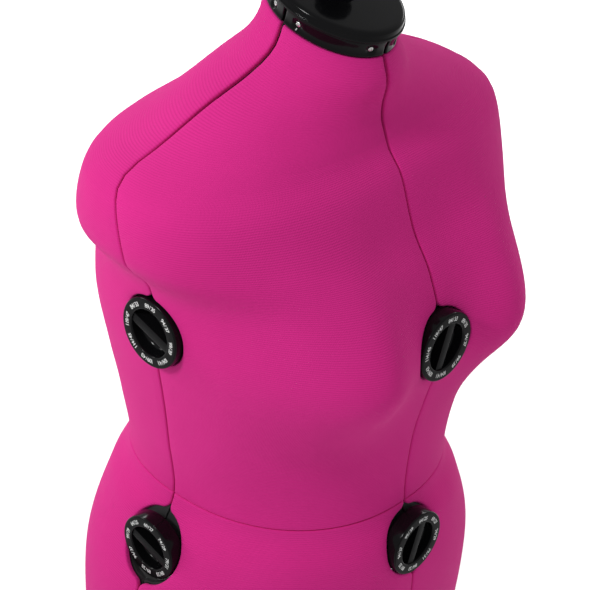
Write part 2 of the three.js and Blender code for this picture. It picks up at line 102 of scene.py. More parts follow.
COVER_DEPTH = 4
EDGE_ROLL = 1.6
EDGE_RINGS = (0, 0.25, 0.8, 1.6)  # distances from an edge at which its roll is sampled
SEAM_HALF_GAP, NECK_HALF_GAP = 0.55, 1.5
END_HALF_GAP = 0.3
NOTCH_RADIUS, NOTCH_FILLET = 29.4, 7
ROW_HEIGHT, COVER_COLUMNS = 6, 34
CLOTH_WIDTH = 0.24  # metres of cloth around one quarter, for the wales

DIAL_RADIUS, DIAL_FACE, DIAL_BACK, CUP_RADIUS, CUP_FLOOR = 28.5, 4.5, -9, 19.5, -6
PINION_RADIUS, PINION_BACK, SHAFT_RADIUS = 3.8, -24.5, 2.8
GRIP_TOP, GRIP_HALF_WIDTH, GRIP_HALF_LENGTH = 3.2, 4, 18.7
GRIP_TURN = {"front": 72, "left": 18, "back": 72, "right": -18}
NUMBER_RADIUS, NUMBER_HEIGHT = 23.5, 3.5
SCALES = {
    "bust": ["84/33", "89/35", "94/37", "99/39", "104/41", "109/43", "114/45", "119/47"],
    "waist": ["64/25", "69/27", "74/29", "79/31", "84/33", "89/35", "94/37", "99/39"],
    "hip": ["90/35", "95/37", "100/39", "105/41", "110/43", "115/45", "120/47", "125/49"],
}

NECK_CENTRE_Y = -23.5
CAP_OVERHANG, CAP_SEAT = 1.6, 0.5
COLLAR_EDGE, COLLAR_FACE, COLLAR_BACK = 0.9, 0.4, 7.4  # edge round, and depths of face and back
COLLAR_END_GAP = NECK_HALF_GAP * 0.75
SCREW_LEVEL, SCREW_INSET, SCREW_DISH = 5.6, 12.5, 1.3
CAP_CROWN = 8.5
KNOB_GAP, KNOB_FLANGE, KNOB_WAIST, KNOB_HEAD, KNOB_TALL = 0.4, 15, 8, 14, 24
KNOB_FLUTES, KNOB_FLUTE_DEPTH = 12, 0.45

# ------------------------------------------------------------------ materials


def material(name, **values):
    made = bpy.data.materials.new(name)
    made.use_nodes = True
    shader = made.node_tree.nodes["Principled BSDF"]
    for socket, value in values.items():
        shader.inputs[socket.replace("_", " ")].default_value = value
    return made


def node(made, kind, inputs=(), **settings):
    """A new node with its settings, and its inputs as (socket, value or linked output) pairs."""
    added = made.node_tree.nodes.new(kind)
    for key, value in settings.items():
        setattr(added, key, value)
    for socket, value in inputs:
        if isinstance(value, bpy.types.NodeSocket):
            made.node_tree.links.new(value, added.inputs[socket])
        else:
            added.inputs[socket].default_value = value
    return added


def drive(made, socket, output):
    shader = made.node_tree.nodes["Principled BSDF"]
    made.node_tree.links.new(output, shader.inputs[socket])


def math_node(made, operation, first, second=0.0):
    return node(made, "ShaderNodeMath", [(0, first), (1, second)], operation=operation).outputs[0]


def noise(made, scale, detail=3.0, stretch=(1, 1, 1)):
    place = node(made, "ShaderNodeTexCoord").outputs["Object"]
    mapped = node(made, "ShaderNodeMapping", [("Vector", place), ("Scale", stretch)])
    inputs = [("Vector", mapped.outputs[0]), ("Scale", scale), ("Detail", detail)]
    return node(made, "ShaderNodeTexNoise", inputs).outputs["Fac"]


def ramp(made, value, stops):
    added = node(made, "ShaderNodeValToRGB", [("Fac", value)])
    elements = added.color_ramp.elements
    while len(elements) < len(stops):
        elements.new(0.5)
    for element, (position, colour) in zip(elements, stops):
        element.position = position
        element.color = (*colour, 1)
    return added.outputs["Color"]


def bump(made, height, distance, strength=1.0, under=None):
    inputs = [("Height", height), ("Distance", distance), ("Strength", strength)]
    if under is not None:
        inputs.append(("Normal", under))
    return node(made, "ShaderNodeBump", inputs).outputs["Normal"]


def knit_material():
    """Foam-backed knit: fine courses around the body, finer wales up it, and a short nap."""
    made = material("knit_fuchsia", Roughness=0.85, Sheen_Weight=0.04, Sheen_Roughness=0.45)
    shader = made.node_tree.nodes["Principled BSDF"]
    shader.inputs["Sheen Tint"].default_value = (1.0, 0.55, 0.82, 1)
    shader.inputs["Specular IOR Level"].default_value = 0.12
    course_pitch, wale_pitch = 0.0018, 0.0012
    place = node(made, "ShaderNodeUVMap", uv_map="cloth").outputs[0]
    parts = node(made, "ShaderNodeSeparateXYZ", [(0, place)])
    wander = noise(made, 45.0)
    drift = math_node(made, "MULTIPLY", wander, course_pitch * 0.7)
    up = math_node(made, "ADD", parts.outputs["Y"], drift)
    turns = 2 * math.pi
    courses = math_node(made, "SINE", math_node(made, "MULTIPLY", up, turns / course_pitch))
    across = math_node(made, "MULTIPLY", parts.outputs["X"], turns / wale_pitch)
    wales = math_node(made, "SINE", across)
    ribs = math_node(made, "MULTIPLY_ADD", wales, 0.35)
    made.node_tree.links.new(courses, ribs.node.inputs[2])
    nap = noise(made, 900.0, 2.0)
    woven = bump(made, ribs, 0.00014, 0.7)
    drive(made, "Normal", bump(made, nap, 0.0002, 0.35, woven))
    # The colour darkens in the troughs of the courses, on the same wave as the bump: painted shade in the
    # rib grooves. It is then mixed with random mottling.
    painted_groove_shade = math_node(made, "MULTIPLY_ADD", courses, 0.055)
    painted_groove_shade.node.inputs[2].default_value = 0.5
    mottling_and_groove_shade = math_node(made, "MULTIPLY_ADD", noise(made, 14.0), 0.35)
    made.node_tree.links.new(painted_groove_shade, mottling_and_groove_shade.node.inputs[2])
    colour = ramp(made, mottling_and_groove_shade, [(0.35, (0.62, 0.02, 0.22)), (1.0, (0.8, 0.03, 0.295))])
    drive(made, "Base Color", colour)
    return made


def plastic_material(name, base, lift, roughness, grain=0.0, spread=0.05, coat=0.0, shine=0.5):
    """Moulded plastic: faint clouds in its colour and gloss, over a fine skin."""
    made = material(name, Coat_Weight=coat, Coat_Roughness=0.06, Specular_IOR_Level=shine)
    clouds = noise(made, 22.0, 4.0)
    drive(made, "Base Color", ramp(made, clouds, [(0.3, base), (0.75, lift)]))
    worn = node(made, "ShaderNodeMapRange", [("Value", noise(made, 60.0, 5.0))])
    worn.inputs["To Min"].default_value = roughness - spread
    worn.inputs["To Max"].default_value = roughness + spread
    drive(made, "Roughness", worn.outputs[0])
    if grain:
        drive(made, "Normal", bump(made, noise(made, 1400.0, 2.0), grain, 0.5))
    else:
        drive(made, "Normal", bump(made, noise(made, 30.0, 1.0), 0.0003, 0.12))
    return made


def metal_material(name, base, lift, roughness, stretch):
    """Drawn or brushed metal, with its brushing drawn out along one axis."""
    made = material(name, Metallic=1.0)
    strokes = noise(made, 260.0, 3.0, stretch)
    drive(made, "Base Color", ramp(made, strokes, [(0.3, base), (0.7, lift)]))
    worn = node(made, "ShaderNodeMapRange", [("Value", strokes)])
    worn.inputs["To Min"].default_value = roughness - 0.08
    worn.inputs["To Max"].default_value = roughness + 0.1
    drive(made, "Roughness", worn.outputs[0])
    drive(made, "Normal", bump(made, strokes, 0.00005, 0.4))
    return made


KNIT = knit_material()
DARK, DARKER = (0.005, 0.005, 0.0055), (0.0025, 0.0025, 0.003)
GLOSS = plastic_material("gloss_black", DARKER, DARK, 0.14, coat=0.08, shine=0.1)
SATIN = plastic_material("satin_black", DARKER, DARK, 0.42, grain=0.00006, shine=0.07)
PRINT = plastic_material("print_white", (0.7, 0.71, 0.7), (0.85, 0.86, 0.85), 0.5)
SHELL = plastic_material("shell_black", (0.01, 0.01, 0.011), (0.016, 0.016, 0.017), 0.5, grain=0.00008)
NYLON = plastic_material("nylon_black", (0.013, 0.013, 0.014), (0.024, 0.024, 0.026), 0.46, grain=0.0001)
ENAMEL = plastic_material("enamel_black", (0.01, 0.01, 0.011), (0.017, 0.017, 0.018), 0.28, coat=0.6)
RUBBER = plastic_material("rubber_black", (0.016, 0.016, 0.016), (0.03, 0.03, 0.03), 0.8, grain=0.0003)
STEEL = metal_material("drawn_steel", (0.5, 0.5, 0.51), (0.66, 0.66, 0.67), 0.28, (1, 1, 0.04))
SCREW = metal_material("plated_screw", (0.6, 0.6, 0.59), (0.8, 0.8, 0.79), 0.26, (1, 1, 1))

# ------------------------------------------------------------------ making meshes


def piece(name, body, shape, materials, place=None, replaced=(), sharp=35):
    """A mesh piece from a shape (points in mm, faces, face materials) that rides on a body."""
    points, faces, painted = shape[:3]
    mesh = bpy.data.meshes.new(name)
    placed = [(place @ Vector(p) if place else Vector(p)) * MM for p in points]
    mesh.from_pydata(placed, [], faces)
    if len(shape) > 3:
        layer = mesh.uv_layers.new(name="cloth")
        for loop in mesh.loops:
            layer.data[loop.index].uv = shape[3][loop.vertex_index]
    for made in materials:
        mesh.materials.append(made)
    mesh.polygons.foreach_set("material_index", painted)
    mesh.update()
    added = bpy.data.objects.new(name, mesh)
    bpy.context.scene.collection.objects.link(added)
    outward_normals(mesh)
    mesh.polygons.foreach_set("use_smooth", [True] * len(mesh.polygons))
    mesh.set_sharp_from_angle(angle=math.radians(sharp))
    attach(added, body)
    if replaced:
        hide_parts(*replaced)
    return added


def outward_normals(mesh):
    work = bmesh.new()
    work.from_mesh(mesh)
    bmesh.ops.recalc_face_normals(work, faces=work.faces)
    work.to_mesh(mesh)
    work.free()


def merged(*shapes):
    points, faces, painted = [], [], []
    for shape in shapes:
        start = len(points)
        points += [tuple(p) for p in shape[0]]
        faces += [tuple(start + index for index in face) for face in shape[1]]
        painted += list(shape[2])
    return points, faces, painted


def moved(shape, place):
    return [tuple(place @ Vector(p)) for p in shape[0]], shape[1], shape[2]


def filleted(corners, steps=5):
    """A line through (x, y, fillet) corners, each rounded back over its fillet length."""
    line = []
    for index, (x, y, fillet) in enumerate(corners):
        here = Vector((x, y))
        if fillet == 0 or index in (0, len(corners) - 1):
            line.append(here)
            continue
        before = Vector(corners[index - 1][:2]) - here
        after = Vector(corners[index + 1][:2]) - here
        entry = here + before.normalized() * min(fillet, 0.49 * before.length)
        leave = here + after.normalized() * min(fillet, 0.49 * after.length)
        for k in range(steps + 1):
            u = k / steps
            line.append(entry * (1 - u) ** 2 + here * 2 * u * (1 - u) + leave * u**2)
    return line


def turned(line, sides, paint=lambda radius, z: 0):
    """A solid of revolution about Z from a line of (radius, z) points that starts and ends on the axis,
    or closes on itself."""
    points, faces, painted, rings = [], [], [], []
    for radius, z in line:
        if radius < 1e-6:
            rings.append([len(points)] * sides)
            points.append((0, 0, z))
            continue
        rings.append(range(len(points), len(points) + sides))
        for k in range(sides):
            angle = 2 * math.pi * k / sides
            points.append((radius * math.cos(angle), radius * math.sin(angle), z))
    closed = line[0][0] > 1e-6
    pairs = list(zip(range(len(rings)), range(1, len(rings))))
    if closed:
        pairs.append((len(rings) - 1, 0))
    for low, high in pairs:
        middle = [(line[low][axis] + line[high][axis]) / 2 for axis in (0, 1)]
        for k in range(sides):
            after = (k + 1) % sides
            corners = [rings[low][k], rings[low][after], rings[high][after], rings[high][k]]
            face = list(dict.fromkeys(corners))
            if len(face) > 2:
                faces.append(face)
                painted.append(paint(*middle))
    return points, faces, painted


def slab(rows, paint=lambda i, j: 0):
    """Faces over a grid of rows of points."""
    columns = len(rows[0])
    points = [point for row in rows for point in row]
    faces, painted = [], []
    for i in range(len(rows) - 1):
        for j in range(columns - 1):
            corner = i * columns + j
            faces.append((corner, corner + 1, corner + columns + 1, corner + columns))
            painted.append(paint(i, j))
    return points, faces, painted


def closed_slab(outer, inner):
    """A closed sheet between two grids of the same size."""
    points, faces, painted = merged(slab(outer), slab(inner))
    rows, columns = len(outer), len(outer[0])
    offset = rows * columns
    rim = list(range(columns))
    rim += [i * columns + columns - 1 for i in range(1, rows)]
    rim += [(rows - 1) * columns + j for j in range(columns - 2, -1, -1)]
    rim += [i * columns for i in range(rows - 2, 0, -1)]
    for here, after in zip(rim, rim[1:] + rim[:1]):
        faces.append((here, after, after + offset, here + offset))
        painted.append(0)
    return points, faces, painted


# ------------------------------------------------------------------ the body's surface


def smooth(value, low, high):
    u = min(max((value - low) / (high - low), 0), 1)
    return u * u * (3 - 2 * u)


def station_at(t):
    last = len(STATIONS) - 1
    index = min(max(int(t), 0), last - 1)
    u = t - index
    here, after = STATIONS[index], STATIONS[index + 1]
    before = STATIONS[max(index - 1, 0)]
    beyond = STATIONS[min(index + 2, last)]
    first_span = index + 1 - max(index - 1, 0)
    last_span = min(index + 2, last) - index
    section = []
    for k in range(len(here)):
        start_slope = (after[k] - before[k]) / first_span
        end_slope = (beyond[k] - here[k]) / last_span
        value = here[k] * (2 * u**3 - 3 * u**2 + 1) + after[k] * (3 * u**2 - 2 * u**3)
        value += start_slope * (u**3 - 2 * u**2 + u) + end_slope * (u**3 - u**2)
        section.append(value)
    return section


def station_of(height):
    low, high = 0, len(STATIONS) - 1
    while high - low > 1e-5:
        middle = (low + high) / 2
        if station_at(middle)[0] < height:
            low = middle
        else:
            high = middle
    return low


def bust_rise(x, height, facing):
    across = abs(x) - BUST_APEX_X
    bell = math.exp(-((across / (BUST_INNER if across < 0 else BUST_OUTER)) ** 2))
    spread = BUST_BRIDGE + (1 - BUST_BRIDGE) * bell if across < 0 else bell
    up = height - BUST_HEIGHT
    fade = math.exp(-((up / (BUST_ABOVE if up > 0 else BUST_BELOW)) ** 2))
    return BUST_RISE * spread * fade * min(max(facing * 3, 0), 1)


def body_point(section, q):
    """A point of the left half: q is 0 on the centre front, 1 on the side seam, 2 on the centre back."""
    height, half, front, back, centre_y, squareness = section
    lean = NECK_LEAN * smooth(height, NECK_LEAN_FROM, NECK_LEAN_TO)
    seam = math.pi / 2 + SEAM_BACK * smooth(height, SEAM_BACK_FROM, NECK_LEAN_TO)
    phi = q * seam if q < 1 else seam + (q - 1) * (math.pi - seam)
    facing = math.cos(phi)
    x = half * abs(math.sin(phi)) ** (2 / squareness)
    y = (-front if facing > 0 else back) * abs(facing) ** (2 / squareness)
    y -= bust_rise(x, height, facing)
    return Vector((x, centre_y + y, WAIST_Z + height + lean * y))


def surface(height, q, depth=0.0):
    """A point of the left half at a depth below the surface."""
    t = station_of(height)
    here = body_point(station_at(t), q)
    if depth == 0:
        return here
    last = len(STATIONS) - 1
    step = 0.01
    section = station_at(t)
    around = body_point(section, min(q + step, 2)) - body_point(section, max(q - step, 0))
    above = body_point(station_at(min(t + step, last)), q)
    below = body_point(station_at(max(t - step, 0)), q)
    normal = around.cross(above - below).normalized()
    return here - normal * depth


def seam_y(height):
    return body_point(station_at(station_of(height)), 1).y


def seam_point(seam, height):
    q, side = SEAMS[seam]["q"], SEAMS[seam]["side"]
    point = body_point(station_at(station_of(height)), q)
    return Vector((point.x * side if q == 1 else 0, point.y, WAIST_Z + height))


def seam_frame(seam, origin):
    """A frame on a seam: x to the right, y up and z outwards, seen from outside."""
    axes = [Vector(SEAMS[seam]["right"]), Vector((0, 0, 1)), Vector(SEAMS[seam]["out"])]
    turn = Matrix(axes).transposed().to_4x4()
    return Matrix.Translation(origin) @ turn


# ------------------------------------------------------------------ knit covers


def seam_gap(height):
    return SEAM_HALF_GAP + (NECK_HALF_GAP - SEAM_HALF_GAP) * smooth(height, SEAM_GAP_FROM, SEAM_GAP_TO)


def notch_profile(away):
    """How far a cover's edge stays from the seam line at a height away from a dial's centre."""
    gap, fillet, radius = SEAM_HALF_GAP, NOTCH_FILLET, NOTCH_RADIUS
    reach = math.sqrt((radius + fillet) ** 2 - (gap + fillet) ** 2)
    away = abs(away)
    if away >= reach:
        return gap
    if away > reach * radius / (radius + fillet):
        return gap + fillet - math.sqrt(fillet**2 - (reach - away) ** 2)
    return math.sqrt(radius**2 - away**2)


def notch_heights():
    """Heights, measured from a dial's centre, that follow its notch closely."""
    gap, fillet, radius = SEAM_HALF_GAP, NOTCH_FILLET, NOTCH_RADIUS
    reach = math.sqrt((radius + fillet) ** 2 - (gap + fillet) ** 2)
    turn = math.asin(reach / (radius + fillet))
    circle = [radius * math.sin(turn * k / 14) for k in range(15)]
    round_corner = [reach - fillet * math.sin(turn * k / 7) for k in range(7)]
    upper_half = sorted(circle + round_corner)
    return [-h for h in reversed(upper_half[1:])] + upper_half


def edge_offset(seam_kind, start, dials, height):
    """Distance of a cover's edge from the seam line, towards the panel."""
    for dial_height in dials:
        away = height - dial_height
        if abs(away) < NOTCH_RADIUS + 2 * NOTCH_FILLET:
            shift = 0.0
            if seam_kind == "side":
                towards = 1 if start == 0 else -1
                near = 1 - smooth(abs(away), NOTCH_RADIUS - 4, NOTCH_RADIUS + 6)
                shift = (seam_y(height) - seam_y(dial_height)) * towards * near
            return shift + notch_profile(away)
    return seam_gap(height)


def q_at(height, seam_kind, start, offset):
    """The q at a distance from the seam line, by bisection."""
    section = station_at(station_of(height))
    if seam_kind == "centre":
        edge, far = (0, 1) if start == 0 else (2, 1)
        value = lambda q: body_point(section, q).x
    else:
        edge, far = (1, start if start == 0 else 2)
        line = body_point(section, 1).y
        value = lambda q: abs(body_point(section, q).y - line)
    for _ in range(22):
        middle = (edge + far) / 2
        if value(middle) < offset:
            edge = middle
        else:
            far = middle
    return edge


def roll_depth(distance):
    if distance >= EDGE_ROLL:
        return 0.0
    return EDGE_ROLL - math.sqrt(EDGE_ROLL**2 - (EDGE_ROLL - distance) ** 2)


def edge_line(seam_kind, start, dials, height):
    """For each ring of an edge's roll: (height, q), stepping in at right angles to the edge."""
    step = 0.2
    before = edge_offset(seam_kind, start, dials, height - step)
    after = edge_offset(seam_kind, start, dials, height + step)
    here = edge_offset(seam_kind, start, dials, height)
    slope = (after - before) / (2 * step)
    length = math.hypot(1, slope)
    line = []
    for distance in EDGE_RINGS:
        offset = here + distance / length
        level = height - distance * slope / length
        line.append((level, q_at(level, seam_kind, start, offset)))
    return line


def cover_heights(tier, dial_heights):
    low, high = tier["span"]
    low += END_HALF_GAP
    high -= END_HALF_GAP
    fixed = [low + r for r in EDGE_RINGS] + [high - r for r in EDGE_RINGS]
    for centre in dial_heights:
        fixed += [centre + h for h in notch_heights()]
    fixed = sorted(h for h in fixed if low <= h <= high)
    heights = [fixed[0]]
    for height in fixed[1:]:
        gap = height - heights[-1]
        if gap < 0.12:
            continue
        extra = int(gap // ROW_HEIGHT)
        heights += [heights[-1] + gap * (k + 1) / (extra + 1) for k in range(extra)]
        heights.append(height)
    return heights


def cover_grids(tier, start):
    """The outer and inner layers of a left-hand cover, and the cloth coordinates of the grid."""
    dial_rows = tier["dials"].values()
    centre_dials = [d["centre"] for d in dial_rows]
    side_dials = [d["side"] for d in dial_rows]
    kinds = [("centre", centre_dials), ("side", side_dials)]
    if start == 1:
        kinds.reverse()
    heights = cover_heights(tier, centre_dials + side_dials)
    low, high = heights[0], heights[-1]
    outer, inner, cloth = [], [], []
    for height in heights:
        near = edge_line(kinds[0][0], start, kinds[0][1], height)
        far = edge_line(kinds[1][0], start, kinds[1][1], height)
        places = list(near)
        for k in range(1, COVER_COLUMNS):
            u = k / COVER_COLUMNS
            level = near[-1][0] * (1 - u) + far[-1][0] * u
            places.append((level, near[-1][1] * (1 - u) + far[-1][1] * u))
        places += reversed(far)
        depths = [roll_depth(r) for r in EDGE_RINGS]
        rolls = depths + [0.0] * (COVER_COLUMNS - 1) + depths[::-1]
        end_roll = roll_depth(min(height - low, high - height))
        outer_row, inner_row, cloth_row = [], [], []
        for (level, q), roll in zip(places, rolls):
            level = min(max(level, low), high)
            outer_row.append(surface(level, q, roll + end_roll))
            inner_row.append(surface(level, q, COVER_DEPTH))
            cloth_row.append((q * CLOTH_WIDTH, climb(level) * MM))
        outer.append(outer_row)
        inner.append(inner_row)
        cloth.append(cloth_row)
    return outer, inner, cloth


def climb_table():
    """The length of cloth from the hem up to each height, along a line between the seams."""
    step = 3
    levels = [HEM_HEIGHT + step * k for k in range(int((COLLAR_TOP_HEIGHT - HEM_HEIGHT) / step) + 2)]
    lengths = [0.0]
    for low, high in zip(levels, levels[1:]):
        run = (surface(high, 0.5) - surface(low, 0.5)).length
        lengths.append(lengths[-1] + run)
    return step, lengths


CLIMB_STEP, CLIMB = climb_table()


def climb(height):
    position = (height - HEM_HEIGHT) / CLIMB_STEP
    index = min(max(int(position), 0), len(CLIMB) - 2)
    return CLIMB[index] + (CLIMB[index + 1] - CLIMB[index]) * (position - index)


def mirrored(rows, side):
    return [[(p.x * side, p.y, p.z) for p in row] for row in rows]


def add_covers():
    for tier_name, tier in TIERS.items():
        for start in (0, 1):
            outer, inner, cloth = cover_grids(tier, start)
            flat_cloth = [uv for row in cloth for uv in row]
            for quarter_name, quarter in QUARTERS.items():
                if quarter["start"] != start:
                    continue
                side = quarter["side"]
                shape = closed_slab(mirrored(outer, side), mirrored(inner, side))
                name = f"{tier_name}_{quarter_name}"
                body = f"{name}_panel"
                cover = piece(
                    f"{name}_knit",
                    body,
                    (*shape, flat_cloth * 2),
                    [KNIT],
                    replaced=[f"{name}_cover"],
                    sharp=60,
                )


# ------------------------------------------------------------------ collar


def collar_depth(distance):
    """Depth of a band's face at a distance from its nearest edge: a small round."""
    radius = COLLAR_EDGE
    if distance >= radius:
        return COLLAR_FACE
    return COLLAR_FACE + radius - math.sqrt(radius**2 - (radius - distance) ** 2)


def collar_girth(start):
    """Arc lengths along the left half of the collar, at evenly spaced q's."""
    steps = 60
    spots = [start + k / steps for k in range(steps + 1)]
    places = [surface(COLLAR_HEIGHT + SCREW_LEVEL, q) for q in spots]
    lengths = [0.0]
    for here, after in zip(places, places[1:]):
        lengths.append(lengths[-1] + (after - here).length)
    return spots, lengths


def q_along(spots, lengths, distance):
    for index in range(len(lengths) - 1):
        if lengths[index + 1] >= distance:
            span = lengths[index + 1] - lengths[index]
            return spots[index] + (spots[index + 1] - spots[index]) * (distance - lengths[index]) / span
    return spots[-1]


def add_collar():
    low, high = COLLAR_HEIGHT, COLLAR_TOP_HEIGHT
    tall = high - low
    ends = [0, 0.12, 0.4, COLLAR_EDGE]
    rises = ends + [COLLAR_EDGE + (tall - 2 * COLLAR_EDGE) * k / 12 for k in range(1, 12)]
    rises += [tall - e for e in reversed(ends)]
    for quarter_name, quarter in QUARTERS.items():
        spots, lengths = collar_girth(quarter["start"])
        total = lengths[-1] - 2 * COLLAR_END_GAP
        runs = ends + [COLLAR_EDGE + (total - 2 * COLLAR_EDGE) * k / 64 for k in range(1, 64)]
        runs += [total - e for e in reversed(ends)]
        screws = [SCREW_INSET, total - SCREW_INSET]
        outer, inner = [], []
        for rise in rises:
            outer_row, inner_row = [], []
            for run in runs:
                q = q_along(spots, lengths, run + COLLAR_END_GAP)
                depth = collar_depth(min(run, total - run, rise, tall - rise))
                nearest = min(math.hypot(run - s, rise - SCREW_LEVEL) for s in screws)
                depth += SCREW_DISH * (1 - smooth(nearest, 2.6, 4.2))
                lift = Vector((0, 0, CAP_SEAT))
                outer_row.append(surface(low + rise, q, depth) + lift)
                inner_row.append(surface(low + rise, q, COLLAR_BACK) + lift)
            outer.append(outer_row)
            inner.append(inner_row)
        side = quarter["side"]
        shape = closed_slab(mirrored(outer, side), mirrored(inner, side))
        body = f"upper_{quarter_name}_panel"
        name = f"collar_{quarter_name}"
        piece(f"{name}_band", body, shape, [GLOSS], replaced=[name], sharp=50)
        for index, run in enumerate(screws):
            q = q_along(spots, lengths, run + COLLAR_END_GAP)
            add_collar_screw(f"{name}_screw_{index + 1}", body, q, side)


def add_collar_screw(name, body, q, side):
    """A small plated pan head with a crossed recess, lying in a dish of the collar."""
    head_radius, dome = 2.0, 0.7
    height = COLLAR_HEIGHT + SCREW_LEVEL
    seat = surface(height, q, 1.6) + Vector((0, 0, CAP_SEAT))
    normal = (surface(height, q) - surface(height, q, 1.0)).normalized()
    seat.x *= side
    normal.x *= side
    rings, sides = 12, 48
    points, faces = [(0, 0, dome - 0.45)], []
    for ring in range(1, rings + 1):
        radius = head_radius * ring / rings
        for k in range(sides):
            angle = 2 * math.pi * k / sides
            x, y = radius * math.cos(angle), radius * math.sin(angle)
            top = dome * math.sqrt(max(1 - (radius / head_radius) ** 2 * 0.92, 0))
            in_cross = min(abs(x), abs(y)) < 0.28 and max(abs(x), abs(y)) < 1.15
            points.append((x, y, top - (0.45 if in_cross else 0)))
    for k in range(sides):
        faces.append((0, 1 + k, 1 + (k + 1) % sides))
    for ring in range(rings - 1):
        for k in range(sides):
            low, after = 1 + ring * sides, (k + 1) % sides
            faces.append((low + k, low + sides + k, low + sides + after, low + after))
    last = 1 + (rings - 1) * sides
    foot = len(points)
    for k in range(sides):
        x, y, _ = points[last + k]
        points.append((x, y, -0.6))
        faces.append((last + k, foot + k, foot + (k + 1) % sides, last + (k + 1) % sides))
    faces.append(tuple(foot + k for k in range(sides)))
    place = Matrix.Translation(seat) @ normal.to_track_quat("Z", "Y").to_matrix().to_4x4()
    piece(name, body, (points, faces, [0] * len(faces)), [SCREW], place, sharp=40)


# ------------------------------------------------------------------ neck cap and knob


def neck_place():
    tilt = math.atan(NECK_LEAN)
    seat = Vector((0, NECK_CENTRE_Y, WAIST_Z + COLLAR_TOP_HEIGHT + 2 * CAP_SEAT))
    return Matrix.Translation(seat) @ Matrix.Rotation(tilt, 4, "X")


def add_neck_cap():
    half, front = STATIONS[-1][1:3]
    rim = front * math.hypot(1, NECK_LEAN) + CAP_OVERHANG
    line = filleted(
        [
            (0, 0.2, 0),
            (rim - 3, 0.2, 0.4),
            (rim - 2.6, 0, 0.3),
            (rim, 0, 0.5),
            (rim, 2.0, 0.5),
            (rim - 0.9, 2.3, 0.25),
            (rim - 1.1, 3.1, 0.35),
            (rim - 2.0, 7.6, 4.4),
            (rim * 0.8, 8.0, 6),
            (rim * 0.4, 8.6, 8),
            (0, 8.7, 0),
        ],
        8,
    )
    stretch = Matrix.Diagonal(((half + CAP_OVERHANG) / rim, 1, 1, 1))
    shape = moved(turned(line, 128), stretch)
    piece("neck_cap_cover", "neck_cap", shape, [GLOSS], neck_place(), ["neck_cap"], 30)


def add_neck_knob():
    base = CAP_CROWN + KNOB_GAP
    line = filleted(
        [
            (0, base + 0.2, 0),
            (KNOB_FLANGE, base + 0.2, 0.4),
            (KNOB_FLANGE, base + 2.6, 1.2),
            (KNOB_WAIST + 1.5, base + 4.2, 1.5),
            (KNOB_WAIST, base + 8.6, 3),
            (KNOB_HEAD, base + 12.5, 2.4),
            (KNOB_HEAD, base + KNOB_TALL - 3.5, 2.4),
            (KNOB_HEAD - 4, base + KNOB_TALL, 3),
            (0, base + KNOB_TALL, 0),
        ],
        7,
    )
    shape = turned(line, 96)
    points = []
    for x, y, z in shape[0]:
        radius, angle = math.hypot(x, y), math.atan2(y, x)
        on_head = smooth(z, base + 10, base + 13) * smooth(radius, KNOB_HEAD - 4, KNOB_HEAD)
        flute = KNOB_FLUTE_DEPTH * on_head * (0.5 - 0.5 * math.cos(angle * KNOB_FLUTES))
        scale = (radius - flute) / radius if radius > 0 else 1
        points.append((x * scale, y * scale, z))
    shape = (points, shape[1], shape[2])
    piece("neck_knob_grip", "neck_knob", shape, [GLOSS], neck_place(), ["neck_knob"], 35)


# ------------------------------------------------------------------ dials


def dial_body(reach):
    """The disc with its scale ring and cup, and the pinion and shaft behind it. reach is from the face
    of the spine, where the shaft ends, to the dial's seam point."""
    lip = CUP_RADIUS
    face = DIAL_FACE
    line = filleted(
        [
            (0, -reach - SPINE_DEPTH + 1, 0),
            (SHAFT_RADIUS, -reach - SPINE_DEPTH + 1, 0.4),
            (SHAFT_RADIUS, PINION_BACK, 0),
            (PINION_RADIUS, PINION_BACK, 0.3),
            (PINION_RADIUS, DIAL_BACK, 0),
            (DIAL_RADIUS, DIAL_BACK, 0.8),
            (DIAL_RADIUS, face, 1.5),
            (lip + 0.1, face, 0.45),
            (lip - 0.5, face - 1.2, 0.6),
            (lip - 1.6, CUP_FLOOR, 4.5),
            (0, CUP_FLOOR - 0.4, 0),
        ],
        5,
    )
    ring = lambda radius, z: 1 if z > face - 0.25 and radius > lip + 0.4 else 0
    return turned(line, 96, ring)


def grip_bar():
    """The finger grip across the cup: a flat top between hollow flanks that flare towards the ends."""
    stations, flank = 28, 9
    rows = []
    for i in range(stations + 1):
        along = GRIP_HALF_LENGTH * (2 * i / stations - 1)
        flare = 1.6 + 4.2 * abs(along / GRIP_HALF_LENGTH) ** 2.2
        side = []
        for k in range(flank + 1):
            u = k / flank
            side.append((GRIP_HALF_WIDTH + flare * u**1.9, GRIP_TOP - 0.35 + (CUP_FLOOR - GRIP_TOP) * u))
        edge = [(GRIP_HALF_WIDTH - 0.45, GRIP_TOP), (GRIP_HALF_WIDTH - 0.12, GRIP_TOP - 0.1)]
        right = edge + side
        section = [(-x, z) for x, z in reversed(right)] + right
        section += [(right[-1][0], CUP_FLOOR - 1.2), (-right[-1][0], CUP_FLOOR - 1.2)]
        rows.append([(along, x, z) for x, z in section])
    count = len(rows[0])
    middle = count // 2 - 2
    points = [point for row in rows for point in row]
    faces, painted = [], []
    for i in range(stations):
        for j in range(count):
            after = (j + 1) % count
            faces.append((i * count + j, i * count + after, (i + 1) * count + after, (i + 1) * count + j))
            painted.append(1 if j == middle else 0)
    faces.append(tuple(range(count)))
    faces.append(tuple(stations * count + j for j in range(count)))
    painted += [0, 0]
    return points, faces, painted


def glyph_shapes():
    """Outlines of the digits and the stroke, as thin plates one unit tall."""
    shapes = {}
    for letter in "0123456789/":
        curve = bpy.data.curves.new(f"glyph_{letter}", "FONT")
        curve.body = letter
        curve.size = 1.4
        curve.resolution_u = 3
        curve.extrude = 0.012
        curve.offset = 0.012
        source = bpy.data.objects.new("glyph_source", curve)
        mesh = bpy.data.meshes.new_from_object(source)
        points = [tuple(v.co) for v in mesh.vertices]
        faces = [tuple(p.vertices) for p in mesh.polygons]
        wide = max(p[0] for p in points)
        shapes[letter] = (points, faces, [0] * len(faces), wide)
        bpy.data.objects.remove(source)
        bpy.data.curves.remove(curve)
        bpy.data.meshes.remove(mesh)
    return shapes


